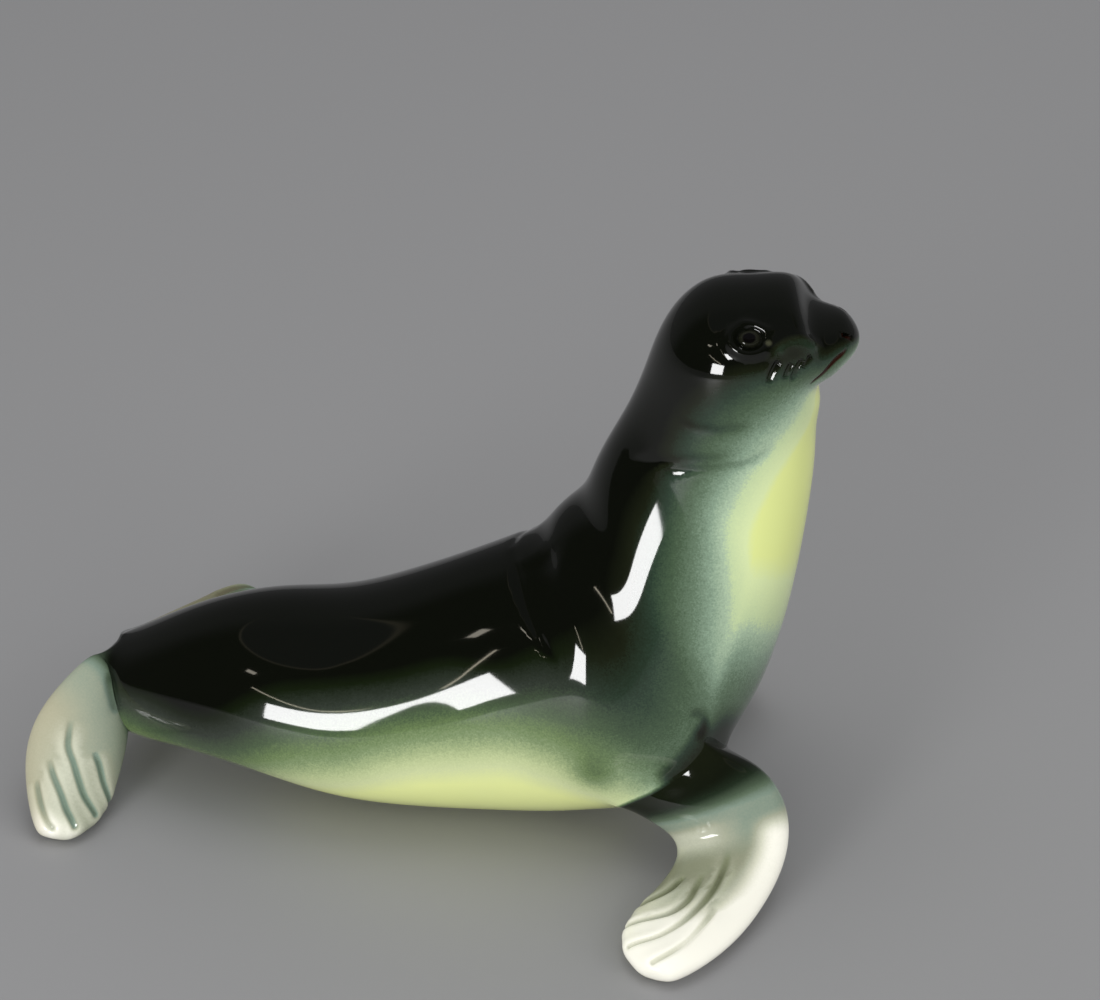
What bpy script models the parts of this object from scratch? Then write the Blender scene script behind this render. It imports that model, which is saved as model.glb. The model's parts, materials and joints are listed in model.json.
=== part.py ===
"""Glazed ceramic seal figurine: one slip-cast piece, hollow, with a vent hole in its belly.

+X is where the seal looks, +Y is its left side and +Z is up. The origin is on the table, in the middle of
the flat patch that the belly rests on. Sizes are in millimetres here and become metres in the mesh.
"""

from collections import namedtuple
from math import atan2, cos, pi, radians, sin, sqrt

import bmesh
import bpy
import numpy as np
from mathutils import Vector
from mathutils.bvhtree import BVHTree

MM = 0.001

# Overall sizes
LENGTH = 166.0           # from the tail end to the nose
WIDTH = 60.0             # at the chest
HEIGHT = 134.0           # from the table to the top of the head
# The tables of sections below are drawn on a grid of 166 squares along, 60 across and 134 up.
LONG = LENGTH / 166
WIDE = WIDTH / 60
HIGH = HEIGHT / 134
EGG = 0.17                # a section is this share wider low down, and narrower high up, than an ellipse

# Casting
WALL = 4.0               # thickness of the fired clay
VENT_DIAMETER = 6.0      # hole that lets the air out in the kiln
VENT_BEHIND = 21.0       # how far the vent is behind the origin, along the belly

CAP_DEPTH = 2.5          # how far the middle of the nose stands out from its last section
FORK_DEPTH = 2.0         # how far the crotch between the hind flippers stands out from the tail's end

# Pose
BEND_START = -21.0       # behind this place the body curves to its left
BEND_RADIUS = 168.0      # radius of that curve
LEFT_ARM_BACK = 14.0     # the left front flipper is set this far behind the right one

# Eye
EYE_RADIUS = 2.5         # of the ball between the lids
EYE_BULGE = 0.7          # how far the ball stands out
EYE_LONG = 1.2           # how much longer than high the eye is
LID_WIDTH = 0.8
LID_HEIGHT = 0.7
SOCKET_WIDTH = 6.5       # soft dip that the eye sits in
SOCKET_DEPTH = 0.8

# Lines pressed into the soft clay, each with the half width and the depth of its groove
FOLD_WIDTH = 1.6
FOLD_DEPTH = 0.55
TOE_WIDTH = 1.3
TOE_DEPTH = 1.2
WHISKER_WIDTH = 0.8
WHISKER_DEPTH = 0.45
MOUTH_WIDTH = 0.7
MOUTH_DEPTH = 0.7
NOSTRIL_WIDTH = 1.0
NOSTRIL_DEPTH = 1.3
BROW_WIDTH = 1.4
BROW_HEIGHT = 0.4
HOLLOW_WIDTH = 6.0       # soft dip in front of the fold at the base of the neck
HOLLOW_DEPTH = 1.0

# Mesh
SMOOTH_LEVELS = 4
OUTSIDE_TRIANGLES = 8000
CAVITY_LEVELS = 1

# A section of the body: its highest and its lowest point in the middle plane as (x, z), and half its width, in
# squares of the grid.
Section = namedtuple("Section", "name back belly half_width")

BODY = (
    Section("tail end", (-80.0, 30.0), (-79.5, 8.0), 11),
    Section("tail root", (-73.1, 34.7), (-72.4, 7.4), 15),
    Section("rump", (-60.0, 43.0), (-57.6, 9.2), 19.5),
    Section("loin", (-43.0, 48.4), (-41.0, 6.4), 24),
    Section("belly", (-26.7, 48.4), (-26.3, 2.1), 26.5),
    Section("belly front", (-10.3, 54.6), (-10.0, 0.0), 27.5),
    Section("ribs", (3.3, 61.0), (8.7, -1.0), 27.5),
    Section("chest rear", (13.1, 65.2), (27.7, 0.6), 31.5),
    Section("shoulder rear", (19.1, 68.6), (42.0, 4.6), 33),
    Section("shoulder", (21.7, 73.2), (50.7, 8.7), 32.5),
    Section("shoulder front", (25.0, 76.7), (58.0, 13.5), 31),
    Section("chest", (28.8, 80.6), (63.5, 22.2), 29),
    Section("breast", (30.9, 87.9), (70.0, 33.0), 26),
    Section("throat low", (34.4, 95.5), (75.2, 52.8), 22),
    Section("throat", (38.4, 103.3), (78.0, 74.5), 18.5),
    Section("throat high", (41.7, 112.6), (79.5, 91.7), 17.5),
    Section("nape", (44.9, 124.5), (79.0, 101.4), 18.5),
    Section("crown", (52.9, 133.7), (80.3, 107.2), 18),
    Section("forehead", (64.3, 134.0), (78.6, 111.7), 16),
    Section("brow", (73.5, 135.5), (80.5, 113.0), 14),
    Section("stop", (75.9, 128.5), (83.0, 115.0), 12),
    Section("muzzle", (80.9, 127.4), (84.4, 117.0), 10),
    Section("nose", (84.6, 127.0), (86.0, 118.4), 7.5),
)

# Turn of each of the twelve cage points of a section, in degrees from the back, down the right side.
TURNS = (0, 32, 64, 96, 125, 152, 180, 208, 235, 264, 296, 328)
# A smoothed ring draws in by this share, so the cage is made that much larger.
RING_GAIN = 1.05
BLADE_GAIN = 1.16

# A section of a flipper: its leading edge, its trailing edge, and its thickness, in squares of the grid.
Blade = namedtuple("Blade", "lead trail thick")

# The right front flipper, from the elbow to the tip.
FRONT = (
    Blade((70.0, -27.6, 26.5), (46.5, -28.9, 12), 13),
    Blade((76.2, -29.3, 17), (52.3, -30.6, 8), 11),
    Blade((76.2, -36.7, 9), (52.6, -36.3, 5.5), 9),
    Blade((71.6, -48.0, 5.6), (47.4, -44.8, 3.6), 8),
    Blade((65.4, -60.0, 4.4), (41.6, -54.0, 3.0), 7.2),
    Blade((57.6, -69.2, 3.8), (39.8, -62.8, 2.8), 6.6),
    Blade((51.0, -73.4, 3.0), (44.2, -70.8, 2.6), 5.4),
)
# The right hind flipper, from the ankle to the toes, on a straight tail.
HIND = (
    Blade((-82.5, -5.0, 28.5), (-77.0, -10.0, 9.0), 11),
    Blade((-85.5, -13.0, 26.0), (-73.5, -17.5, 7.5), 9),
    Blade((-88.5, -22.5, 20.5), (-72.0, -25.0, 5.5), 8),
    Blade((-89.0, -29.0, 12.6), (-72.0, -31.0, 3.4), 7.5),
    Blade((-85.0, -36.5, 5.5), (-72.5, -36.5, 2.4), 7),
    Blade((-80.5, -43.0, 2.4), (-75.0, -41.5, 2.0), 6),
)
# The left one is swung forward and is held off the table.
LEFT_HIND = (
    Blade((-83.0, 6.0, 26.5), (-77.0, 10.0, 9.0), 11),
    Blade((-84.0, 15.0, 21.5), (-72.5, 18.5, 7.5), 9),
    Blade((-84.0, 26.0, 17.5), (-68.5, 27.5, 6.5), 8),
    Blade((-81.5, 36.0, 15.5), (-65.5, 37.0, 7.5), 7.5),
    Blade((-78.0, 44.5, 14.5), (-62.0, 45.0, 9.5), 7),
    Blade((-73.0, 50.0, 14.0), (-62.0, 51.0, 11.5), 6),
)
FRONT_ROOT = ("shoulder rear", "chest")

# Lines drawn on the clay. A body line runs through (station, turn): the station is counted in sections from
# the tail end, and each line is drawn on both sides. A flipper line runs through (blade, across): the blade is
# counted from the elbow or ankle, and across goes from 0 at the trailing edge to 1 at the leading edge.
EYE = (17.55, 56)
BROW = ((17.42, 43), (17.73, 40), (18.01, 46), (18.32, 51))
MOUTH = ((18.4, 126), (18.9, 124), (19.7, 114), (20.5, 105), (22.2, 97))
NOSTRIL = ((22.35, 24), (22.3, 42))
WHISKERS = (
    ((17.29, 91), (17.83, 85), (18.31, 84)),
    ((17.76, 100), (18.27, 93), (18.78, 86)),
    ((18.43, 100), (18.86, 93), (19.5, 82)),
)
FOLDS = (
    ((15.01, 52), (15.17, 67), (15.42, 81), (15.94, 102)),
    ((13.2, 30), (14.32, 62), (14.91, 86), (15.15, 98)),
    ((13.9, 53), (14.63, 82), (15.08, 104), (15.65, 121)),
    ((6.9, 0), (7.1, 17), (7.31, 37), (7.65, 53), (7.95, 60)),
    ((11.15, 112), (11.34, 120), (11.16, 124), (10.83, 122)),
    ((0.15, 56), (0.5, 74), (0.77, 98)),
)
HOLLOW = ((8.1, 12), (8.2, 30), (8.4, 48))
FRONT_TOES = (
    ((2.0, 0.52), (2.6, 0.55), (3.2, 0.6), (3.9, 0.58), (4.5, 0.4), (5.0, 0.05)),
    ((2.7, 0.4), (3.3, 0.45), (3.7, 0.42), (4.1, 0.3), (4.4, 0.0)),
    ((2.9, 0.3), (3.2, 0.26), (3.5, 0.18), (3.8, 0.0)),
    ((3.5, 0.78), (4.1, 0.76), (4.7, 0.68), (5.1, 0.45)),
)
HIND_TOES = (
    ((2.4, 0.78), (3.2, 0.66), (4.2, 0.45), (5.0, 0.3)),
    ((1.5, 0.8), (2.0, 0.62), (2.6, 0.42), (3.7, 0.2), (4.6, 0.05)),
    ((1.6, 0.42), (2.1, 0.22), (3.0, 0.05), (3.4, 0.0)),
    ((3.3, 0.9), (4.2, 0.85), (5.0, 0.7)),
)


def bend(point):
    """Curves the straight body's tail to the left."""
    x, y, z = point
    t = max(BEND_START - x, 0.0)
    turn = atan2(t, BEND_RADIUS)
    return Vector((x + y * sin(turn), t * t / (2 * BEND_RADIUS) + y * cos(turn), z))


def station_index(name):
    """Place of the section with this name along the body."""
    return [s.name for s in BODY].index(name)


def between(values, place):
    """Value at a fractional place in a list of numbers, on a smooth curve through them."""
    i = min(max(int(place), 0), len(values) - 2)
    t = place - i
    a = values[max(i - 1, 0)]
    b, c = values[i], values[i + 1]
    d = values[min(i + 2, len(values) - 1)]
    return b + t * (c - a + t * (2 * a - 5 * b + 4 * c - d + t * (3 * b - a - 3 * c + d))) / 2


def on_body(station, turn, gain=1.0, inset=0.0):
    """A point of the body's skin, given its station and its turn from the back down the right side."""
    back_x, back_z, belly_x, belly_z, wide = (
        between([pick(s) for s in BODY], station)
        for pick in (lambda s: s.back[0], lambda s: s.back[1], lambda s: s.belly[0], lambda s: s.belly[1],
                     lambda s: s.half_width)
    )
    back = Vector((back_x * LONG, 0, back_z * HIGH))
    belly = Vector((belly_x * LONG, 0, belly_z * HIGH))
    middle, up = (back + belly) / 2, (back - belly) / 2
    up = up * (1 - inset / up.length)
    side = -(wide * WIDE - inset) * sin(radians(turn)) * (1 - EGG * cos(radians(turn)))
    point = middle + up * cos(radians(turn)) * gain
    return bend((point.x, side * gain, point.z))


def blade_frame(blades, place):
    """Middle, half chord, unit normal on the upper face and thickness of a flipper at a fractional place."""
    def mix(pick, where):
        x, y, z = (between([pick(b)[axis] for b in blades], where) for axis in range(3))
        return Vector((x * LONG, y * WIDE, z * HIGH))

    lead, trail = mix(lambda b: b.lead, place), mix(lambda b: b.trail, place)
    thick = between([b.thick for b in blades], place) * HIGH
    path = Vector()
    for end, sign in ((min(place + 0.5, len(blades) - 1), 1), (max(place - 0.5, 0), -1)):
        path += sign * (mix(lambda b: b.lead, end) + mix(lambda b: b.trail, end))
    chord = (lead - trail) / 2
    normal = path.cross(chord).normalized()
    outward = Vector((0, 0.5 if lead.y > 0 else -0.5, 1))
    if normal.dot(outward) < 0:
        normal.negate()
    return (lead + trail) / 2, chord, normal, thick


def on_blade(blades, place, across):
    """A point of a flipper's upper face."""
    middle, chord, normal, thick = blade_frame(blades, place)
    share = 2 * across - 1
    rise = sqrt(max(1 - share * share, 0.0))
    return middle + chord * share + normal * thick / 2 * rise


def blade_ring(blades, i):
    """Eight cage points of a flipper: four on its upper face from the trailing edge, then four below."""
    middle, chord, normal, thick = blade_frame(blades, i)
    points = []
    for step in range(8):
        angle = pi * (7 / 8 - step / 4)
        points.append(middle + (chord * cos(angle) + normal * thick / 2 * sin(angle)) * BLADE_GAIN)
    return points


def add_limb(verts, faces, root, blades, curved):
    """Grows a flipper out of the loop of eight cage points called root."""
    loop = root
    for i in range(len(blades)):
        ring = blade_ring(blades, i)
        if curved:
            ring = [bend(p) for p in ring]
        new = list(range(len(verts), len(verts) + 8))
        verts.extend(ring)
        for k in range(8):
            faces.append((loop[k], loop[(k + 1) % 8], new[(k + 1) % 8], new[k]))
        loop = new
    for k in range(3):
        faces.append((loop[k], loop[k + 1], loop[6 - k], loop[7 - k]))


def left_front():
    """The left front flipper: the right one mirrored, and set back more and more from the elbow on."""
    out = []
    for i, b in enumerate(FRONT):
        back = LEFT_ARM_BACK * (i / (len(FRONT) - 1)) ** 0.6
        lead = (b.lead[0] - back, -b.lead[1], b.lead[2])
        trail = (b.trail[0] - back, -b.trail[1], b.trail[2])
        out.append(Blade(lead, trail, b.thick))
    return out


def close_ring(verts, faces, loop, outward):
    """Closes a ring of twelve cage points with nine faces, its middle pushed outward by a cap's depth."""
    centre = sum((verts[i] for i in loop), Vector()) / 12
    q = []
    for corner in (0, 3, 6, 9):
        pair = (verts[loop[corner + 1]] + verts[loop[(corner + 2) % 12]]) / 2
        diagonal = (verts[loop[corner]] + pair) / 2
        q.append(len(verts))
        verts.append(centre + (diagonal - centre) * 0.5 + outward)
    p = loop
    grid = (
        (p[0], p[1], p[2], p[3]),
        (p[11], q[0], q[1], p[4]),
        (p[10], q[3], q[2], p[5]),
        (p[9], p[8], p[7], p[6]),
    )
    for r in range(3):
        for c in range(3):
            faces.append((grid[r][c], grid[r][c + 1], grid[r + 1][c + 1], grid[r + 1][c]))


def build_cage():
    """Points and faces of the coarse cage of the whole seal, its flippers grown out of its body."""
    verts, faces, rings = [], [], []
    for i in range(len(BODY)):
        rings.append(list(range(len(verts), len(verts) + 12)))
        verts.extend(on_body(i, turn, gain=RING_GAIN) for turn in TURNS)
    first, last = station_index(FRONT_ROOT[0]), station_index(FRONT_ROOT[1])
    for i in range(len(rings) - 1):
        for k in range(12):
            if first <= i < last and k in (4, 7):
                continue
            faces.append((rings[i][k], rings[i][(k + 1) % 12], rings[i + 1][(k + 1) % 12], rings[i + 1][k]))
    close_ring(verts, faces, rings[-1], Vector((CAP_DEPTH, 0, 0)))
    span = range(first, last + 1)
    right = [rings[i][4] for i in span] + [rings[i][5] for i in reversed(span)]
    left = [rings[i][8] for i in span] + [rings[i][7] for i in reversed(span)]
    add_limb(verts, faces, right, FRONT, False)
    add_limb(verts, faces, left, left_front(), False)
    tail = rings[0]
    fork = len(verts)
    verts.append(sum((verts[i] for i in tail), Vector()) / 12 - Vector((FORK_DEPTH, 0, 0)))
    add_limb(verts, faces, [tail[5], tail[4], tail[3], tail[2], tail[1], tail[0], fork, tail[6]], HIND, True)
    add_limb(verts, faces, [tail[7], tail[8], tail[9], tail[10], tail[11], tail[0], fork, tail[6]],
             LEFT_HIND, True)
    return verts, faces


def smooth_mesh(name, verts, faces, levels):
    """A mesh smoothed from a cage."""
    cage = bpy.data.meshes.new(name + " cage")
    cage.from_pydata([v * MM for v in verts], [], faces)
    bm = bmesh.new()
    bm.from_mesh(cage)
    bmesh.ops.recalc_face_normals(bm, faces=bm.faces)
    bm.to_mesh(cage)
    bm.free()
    holder = bpy.data.objects.new(name, cage)
    bpy.context.scene.collection.objects.link(holder)
    smooth = holder.modifiers.new("Smooth", "SUBSURF")
    smooth.levels = smooth.render_levels = levels
    mesh = bpy.data.meshes.new_from_object(holder.evaluated_get(bpy.context.evaluated_depsgraph_get()))
    bpy.data.objects.remove(holder)
    bpy.data.meshes.remove(cage)
    return mesh


def curve_through(points, step=0.5):
    """Closely spaced points on a smooth curve through the given ones."""
    out = []
    for i in range(len(points) - 1):
        count = max(2, int((points[i + 1] - points[i]).length / step))
        for k in range(count):
            place = i + k / count
            out.append(Vector([between([p[axis] for p in points], place) for axis in range(3)]))
    out.append(points[-1])
    return out


class Clay:
    """The smooth skin as arrays of points and normals, in millimetres, to press lines and bumps into."""

    def __init__(self, mesh):
        self.mesh = mesh
        count = len(mesh.vertices)
        self.points = np.empty(count * 3, np.float32)
        self.normals = np.empty(count * 3, np.float32)
        mesh.vertices.foreach_get("co", self.points)
        mesh.vertices.foreach_get("normal", self.normals)
        self.points = self.points.reshape(-1, 3) / MM
        self.normals = self.normals.reshape(-1, 3)
        self.moves = np.zeros(count)
        bm = bmesh.new()
        bm.from_mesh(mesh)
        self.tree = BVHTree.FromBMesh(bm)
        bm.free()

    def on_skin(self, point):
        """The nearest point of the skin, and its normal."""
        place, normal, _, _ = self.tree.find_nearest(point * MM)
        return place / MM, normal

    def press(self, points, width, depth, runs_out=False):
        """Presses a groove along a line. It fades at both ends, or only at its start if it runs out over an
        edge. A negative depth raises a ridge."""
        line = np.array([self.on_skin(p)[0] for p in curve_through(points)])
        low, high = line.min(0) - 3 * width, line.max(0) + 3 * width
        near = np.flatnonzero(((self.points > low) & (self.points < high)).all(1))
        gap = np.linalg.norm(self.points[near, None] - line[None], axis=2)
        closest = gap.argmin(1)
        along = closest / (len(line) - 1)
        fade = np.clip((along if runs_out else np.minimum(along, 1 - along)) * 5, 0, 1)
        share = np.exp(-(gap[np.arange(len(near)), closest] / width) ** 2)
        self.moves[near] -= depth * fade * share

    def eye(self, centre):
        """Raises an eyeball with a rim of lid round it, out of a soft socket."""
        place, normal = self.on_skin(centre)
        up = (Vector((0, 0, 1)) - normal * normal.z).normalized()
        forward = up.cross(normal)
        away = self.points - np.array(place)
        along = away @ np.array(forward) / EYE_LONG
        height = away @ np.array(up)
        depth = np.abs(away @ np.array(normal))
        gap = np.where(depth < 3 * EYE_RADIUS, np.hypot(along, height), 1e3) / EYE_RADIUS
        ball = EYE_BULGE * np.sqrt(np.clip(1 - gap ** 2, 0, 1))
        rim = LID_HEIGHT * np.exp(-(((gap - 1) * EYE_RADIUS - 2 * LID_WIDTH) / LID_WIDTH) ** 2)
        socket = SOCKET_DEPTH * np.exp(-(gap * EYE_RADIUS / SOCKET_WIDTH) ** 2)
        self.moves += ball + rim - socket

    def settle(self):
        """Writes the pressed skin back to its mesh."""
        moved = (self.points + self.normals * self.moves[:, None]) * MM
        self.mesh.vertices.foreach_set("co", moved.astype(np.float32).ravel())
        self.mesh.update()


def press_lines(clay):
    """Draws the face, the folds and the toes."""
    for side in (1, -1):
        def body_line(line, width, depth):
            clay.press([on_body(station, side * turn) for station, turn in line], width, depth)

        clay.eye(on_body(EYE[0], side * EYE[1]))
        body_line(BROW, BROW_WIDTH, -BROW_HEIGHT)
        body_line(MOUTH, MOUTH_WIDTH, MOUTH_DEPTH)
        body_line(NOSTRIL, NOSTRIL_WIDTH, NOSTRIL_DEPTH)
        body_line(HOLLOW, HOLLOW_WIDTH, HOLLOW_DEPTH)
        for line in WHISKERS:
            body_line(line, WHISKER_WIDTH, WHISKER_DEPTH)
        for line in FOLDS:
            body_line(line, FOLD_WIDTH, FOLD_DEPTH)
    for blades in (FRONT, left_front()):
        for line in FRONT_TOES:
            clay.press([on_blade(blades, *spot) for spot in line], TOE_WIDTH, TOE_DEPTH, runs_out=True)
    for blades in (HIND, LEFT_HIND):
        for line in HIND_TOES:
            clay.press([bend(on_blade(blades, *spot)) for spot in line], TOE_WIDTH, TOE_DEPTH, runs_out=True)


def cavity_mesh():
    """The hollow left when the slip is poured out: the body's loft, smaller by the wall."""
    verts, faces, rings = [], [], []
    first, last = station_index("rump"), station_index("crown")
    for i in range(first, last + 1):
        rings.append(list(range(len(verts), len(verts) + 12)))
        verts.extend(on_body(i, turn, RING_GAIN, WALL * 1.05) for turn in TURNS)
    for a, b in zip(rings, rings[1:]):
        for k in range(12):
            faces.append((a[k], a[(k + 1) % 12], b[(k + 1) % 12], b[k]))
    close_ring(verts, faces, rings[0], Vector((-WALL / 2, 0, 0)))
    close_ring(verts, faces, rings[-1], Vector((WALL / 4, 0, WALL / 4)))
    return smooth_mesh("cavity", verts, faces, CAVITY_LEVELS)


def add_cutter(name, mesh, cutters):
    """A hidden object that cuts the body."""
    cutter = bpy.data.objects.new(name, mesh)
    cutters.objects.link(cutter)
    cutter.hide_render = True
    cutter.display_type = "WIRE"
    return cutter


def primitive_mesh(name, make, move):
    """A mesh made by one of bmesh's primitives, moved into place."""
    bm = bmesh.new()
    make(bm)
    bmesh.ops.translate(bm, verts=bm.verts, vec=Vector(move) * MM)
    mesh = bpy.data.meshes.new(name)
    bm.to_mesh(mesh)
    bm.free()
    return mesh


def glaze():
    """Glossy dark green glaze."""
    material = bpy.data.materials.new("green glaze")
    material.use_nodes = True
    shader = material.node_tree.nodes["Principled BSDF"]
    shader.inputs["Base Color"].default_value = (0.045, 0.075, 0.045, 1)
    shader.inputs["Roughness"].default_value = 0.06
    shader.inputs["Metallic"].default_value = 0.0
    return material


def main():
    for o in list(bpy.data.objects):
        bpy.data.objects.remove(o)
    parts = bpy.data.collections.new("seal figurine")
    cutters = bpy.data.collections.new("cutters")
    for collection in (parts, cutters):
        bpy.context.scene.collection.children.link(collection)

    verts, faces = build_cage()
    skin = smooth_mesh("seal skin", verts, faces, SMOOTH_LEVELS)
    clay = Clay(skin)
    press_lines(clay)
    clay.settle()
    body = bpy.data.objects.new("seal_body", skin)
    parts.objects.link(body)
    body.data.materials.append(glaze())
    coarser = body.modifiers.new("Coarser", "DECIMATE")
    coarser.ratio = OUTSIDE_TRIANGLES / (2 * len(skin.polygons))

    table = primitive_mesh(
        "table", lambda bm: bmesh.ops.create_cube(bm, size=3 * LENGTH * MM), (0, 0, -1.5 * LENGTH))
    vent = primitive_mesh(
        "vent",
        lambda bm: bmesh.ops.create_cone(
            bm, cap_ends=True, segments=24, radius1=VENT_DIAMETER / 2 * MM, radius2=VENT_DIAMETER / 2 * MM,
            depth=4 * WALL * MM),
        (-VENT_BEHIND, 0, WALL))
    for name, mesh in (("table", table), ("cavity", cavity_mesh()), ("vent", vent)):
        cut = body.modifiers.new(name.capitalize(), "BOOLEAN")
        cut.operation = "DIFFERENCE"
        cut.solver = "EXACT"
        cut.object = add_cutter(name + "_cutter", mesh, cutters)

    evaluated = body.evaluated_get(bpy.context.evaluated_depsgraph_get())
    finished = bpy.data.meshes.new_from_object(evaluated)
    body.modifiers.clear()
    body.data = finished
    finished.shade_smooth()
    finished.set_sharp_from_angle(angle=radians(40))
    print("triangles", sum(len(p.vertices) - 2 for p in finished.polygons))


main()
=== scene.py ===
# %% [markdown]
# # A glazed ceramic seal
# The real thing is a hollow slip-cast figurine: white clay, airbrushed with coloured glaze and fired to a
# hard gloss. It is one piece, so it is built as one skin. The skin grows from a coarse cage of rings, the
# lines of the face, the folds and the toes are pressed into it, and the glaze is laid over it in soft
# sprays.

# %% Load the frame
import json
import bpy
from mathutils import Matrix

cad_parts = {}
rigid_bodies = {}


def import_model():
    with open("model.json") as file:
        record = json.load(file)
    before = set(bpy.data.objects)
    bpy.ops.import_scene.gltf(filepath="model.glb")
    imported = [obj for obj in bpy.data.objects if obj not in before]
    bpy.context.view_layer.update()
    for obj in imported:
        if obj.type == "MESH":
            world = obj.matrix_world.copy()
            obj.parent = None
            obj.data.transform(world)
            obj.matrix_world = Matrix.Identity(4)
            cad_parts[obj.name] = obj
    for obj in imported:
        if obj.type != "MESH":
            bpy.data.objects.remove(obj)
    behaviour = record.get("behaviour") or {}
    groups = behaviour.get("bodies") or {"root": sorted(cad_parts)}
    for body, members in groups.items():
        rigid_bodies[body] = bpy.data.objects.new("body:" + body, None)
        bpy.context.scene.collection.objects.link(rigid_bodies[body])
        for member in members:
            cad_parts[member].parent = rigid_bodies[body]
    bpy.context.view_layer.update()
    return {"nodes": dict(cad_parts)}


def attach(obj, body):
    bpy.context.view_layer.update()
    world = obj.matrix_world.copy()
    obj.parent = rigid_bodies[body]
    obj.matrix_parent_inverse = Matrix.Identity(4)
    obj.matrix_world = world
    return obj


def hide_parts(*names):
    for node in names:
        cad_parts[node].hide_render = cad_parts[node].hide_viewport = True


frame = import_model()
print("solids:", ", ".join(frame["nodes"]))

# %% Names from elsewhere
from collections import namedtuple
from math import atan2, cos, pi, radians, sin, sqrt

import bmesh
import bpy
import numpy as np
from mathutils import Euler, Vector
from mathutils.bvhtree import BVHTree
from mathutils.kdtree import KDTree

MM = 0.001
print("a millimetre is", MM, "of the scene's metres")

# %% [markdown]
# ## The cage
# A sculptor would rough the seal out as slices. Here a slice of the body is its highest and its lowest
# point in the middle plane and half its width, and a slice of a flipper is its leading edge, its trailing
# edge and its thickness. All are in millimetres, with +X where the seal looks and the table at zero. A
# few slices keep every bulge long and clean, which matters most on a gloss surface.

# %% Sections
Section = namedtuple("Section", "name back belly half_width")
Blade = namedtuple("Blade", "lead trail thick")

BODY = (
    Section("tail end", (-80.0, 30.0), (-79.5, 8.0), 11),
    Section("tail root", (-73.1, 34.7), (-72.4, 7.4), 15),
    Section("rump", (-60.0, 43.0), (-57.6, 9.2), 19.5),
    Section("loin", (-43.0, 48.4), (-41.0, 6.4), 24),
    Section("belly", (-26.7, 48.4), (-26.3, 2.1), 26.5),
    Section("belly front", (-10.3, 54.6), (-10.0, 0.0), 27.5),
    Section("ribs", (3.3, 61.0), (8.7, -1.0), 27.5),
    Section("chest rear", (13.1, 65.2), (27.7, 0.6), 30.9),
    Section("shoulder rear", (19.1, 68.6), (42.0, 4.6), 33.4),
    Section("shoulder", (21.7, 73.2), (50.7, 8.7), 33.2),
    Section("shoulder front", (25.0, 76.7), (58.0, 13.5), 31.2),
    Section("chest", (28.8, 80.6), (63.5, 22.2), 29),
    Section("breast", (30.9, 87.9), (70.0, 33.0), 26),
    Section("throat low", (34.4, 95.5), (75.2, 52.8), 22),
    Section("throat", (38.4, 103.3), (78.0, 74.5), 18.5),
    Section("throat high", (41.7, 112.6), (79.5, 91.7), 17.5),
    Section("nape", (44.9, 124.5), (79.0, 101.4), 18.5),
    Section("crown", (52.9, 133.7), (80.3, 107.2), 18),
    Section("forehead", (64.3, 134.0), (78.6, 111.7), 16),
    Section("brow", (73.5, 135.5), (80.5, 113.0), 14),
    Section("stop", (75.9, 128.5), (83.0, 115.0), 12),
    Section("muzzle", (80.9, 127.4), (84.4, 117.0), 10),
    Section("nose", (84.6, 127.0), (86.0, 118.4), 7.5),
)
FRONT = (
    Blade((70.0, -27.6, 26.5), (46.5, -28.9, 12), 13),
    Blade((76.2, -29.3, 17), (52.3, -30.6, 8), 11),
    Blade((76.2, -36.7, 9), (52.6, -36.3, 5.5), 9),
    Blade((71.6, -48.0, 5.6), (47.4, -44.8, 3.6), 8),
    Blade((65.4, -60.0, 4.4), (41.6, -54.0, 3.0), 7.2),
    Blade((57.6, -69.2, 3.8), (39.8, -62.8, 2.8), 6.6),
    Blade((51.0, -73.4, 3.0), (44.2, -70.8, 2.6), 5.4),
)
HIND = (
    Blade((-82.5, -5.0, 28.5), (-77.0, -10.0, 9.0), 11),
    Blade((-85.5, -13.0, 26.0), (-73.5, -17.5, 7.5), 9),
    Blade((-88.5, -22.5, 20.5), (-72.0, -25.0, 5.5), 8),
    Blade((-89.0, -29.0, 12.6), (-72.0, -31.0, 3.4), 7.5),
    Blade((-85.0, -36.5, 5.5), (-72.5, -36.5, 2.4), 7),
    Blade((-80.5, -43.0, 2.4), (-75.0, -41.5, 2.0), 6),
)
LEFT_HIND = (
    Blade((-83.0, 6.0, 26.5), (-77.0, 10.0, 9.0), 11),
    Blade((-84.0, 15.0, 21.5), (-72.5, 18.5, 7.5), 9),
    Blade((-84.0, 26.0, 17.5), (-68.5, 27.5, 6.5), 8),
    Blade((-81.5, 36.0, 15.5), (-65.5, 37.0, 7.5), 7.5),
    Blade((-78.0, 44.5, 14.5), (-62.0, 45.0, 9.5), 7),
    Blade((-73.0, 50.0, 14.0), (-62.0, 51.0, 11.5), 6),
)
LEFT_ARM_BACK = 14.0
LEFT_ARM_EASE = 0.6
BEND_START = -21.0
BEND_RADIUS = 168.0
WALL = 4.0
VENT_DIAMETER = 6.0
VENT_BEHIND = 21.0
print(len(BODY), "body slices and", len(FRONT) + len(HIND), "flipper slices on the right side")

# %% [markdown]
# Each place on the skin is named by where it is on the animal: a station along the body and a turn round
# it from the back, or a place along a flipper and a share across it. The tail curves to the seal's left.
# A slice is a little egg-shaped: wider low down on the resting body, and wider high up on the head, over
# the cheeks.

# %% Places on the skin
EGG = (
    (0, 0.17), (9, 0.17), (11, 0.21), (12.5, 0.17), (14.5, 0.05), (16.5, -0.18), (18.5, -0.18), (20, -0.12),
)


def egg(station):
    """How much wider a slice is low down than high up. On the head it is the other way round."""
    return float(np.interp(station, *zip(*EGG)))


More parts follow.
